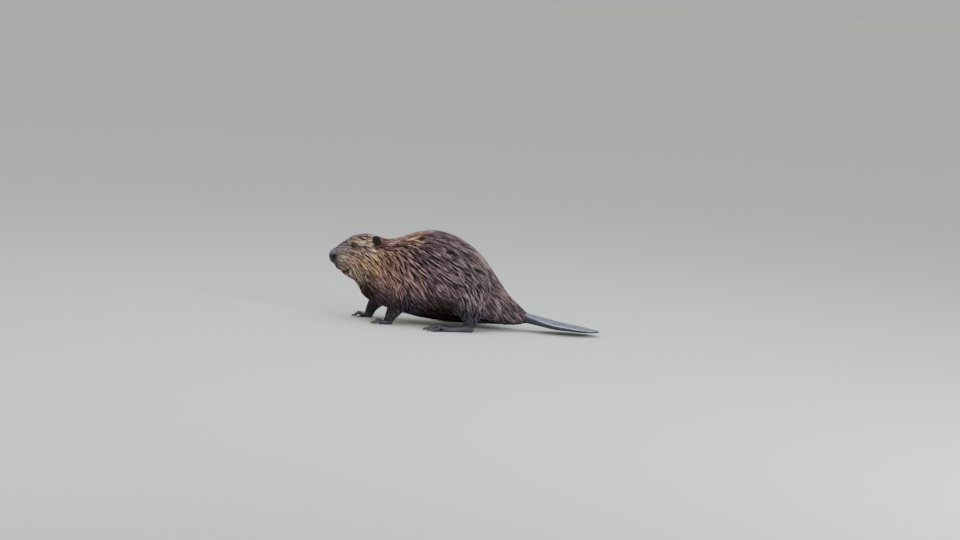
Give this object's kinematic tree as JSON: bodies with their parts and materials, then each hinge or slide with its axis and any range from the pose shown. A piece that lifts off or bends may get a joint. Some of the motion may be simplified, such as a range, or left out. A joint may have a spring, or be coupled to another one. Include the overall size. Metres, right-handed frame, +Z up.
{
  "type": "beaver model",
  "caption": "Life-size still beaver standing on four feet, back arched, head level, flat scaly tail held out behind just clear of the floor.",
  "frame": {"origin": "on the floor, under the middle of the animal's bounding box", "axes": "+Z up, +X from the nose towards the tail, -Y the animal's left side"},
  "size_m": [0.929, 0.3652, 0.32],
  "materials": {
    "head_fur": "short dense tan and grey-brown fur",
    "body_fur": "long guard hairs in damp pointed locks, dark mauve-brown",
    "leg_fur": "very short dark grey-brown fur",
    "ear_skin": "near-black thin skin with sparse hair",
    "foot_skin": "dark grey wrinkled skin, slightly damp",
    "tail_skin": "bluish-grey scaly skin, satin",
    "eye": "wet dark brown",
    "claw": "dark horn, slightly polished"
  },
  "bodies": {
    "root": {"ear_left": "ear_skin", "ear_right": "ear_skin", "eye_left": "eye", "eye_right": "eye", "fore_foot_left": "foot_skin", "fore_foot_left_claw_1": "claw", "fore_foot_left_claw_2": "claw", "fore_foot_left_claw_3": "claw", "fore_foot_left_claw_4": "claw", "fore_foot_left_claw_5": "claw", "fore_foot_right": "foot_skin", "fore_foot_right_claw_1": "claw", "fore_foot_right_claw_2": "claw", "fore_foot_right_claw_3": "claw", "fore_foot_right_claw_4": "claw", "fore_foot_right_claw_5": "claw", "fore_leg_left": "leg_fur", "fore_leg_right": "leg_fur", "head": "head_fur", "hind_foot_left": "foot_skin", "hind_foot_left_claw_1": "claw", "hind_foot_left_claw_2": "claw", "hind_foot_left_claw_3": "claw", "hind_foot_left_claw_4": "claw", "hind_foot_left_claw_5": "claw", "hind_foot_right": "foot_skin", "hind_foot_right_claw_1": "claw", "hind_foot_right_claw_2": "claw", "hind_foot_right_claw_3": "claw", "hind_foot_right_claw_4": "claw", "hind_foot_right_claw_5": "claw", "hind_leg_left": "leg_fur", "hind_leg_right": "leg_fur", "neck": "body_fur", "tail": "tail_skin", "tail_root": "body_fur", "trunk": "body_fur"}
  },
  "joints": []
}
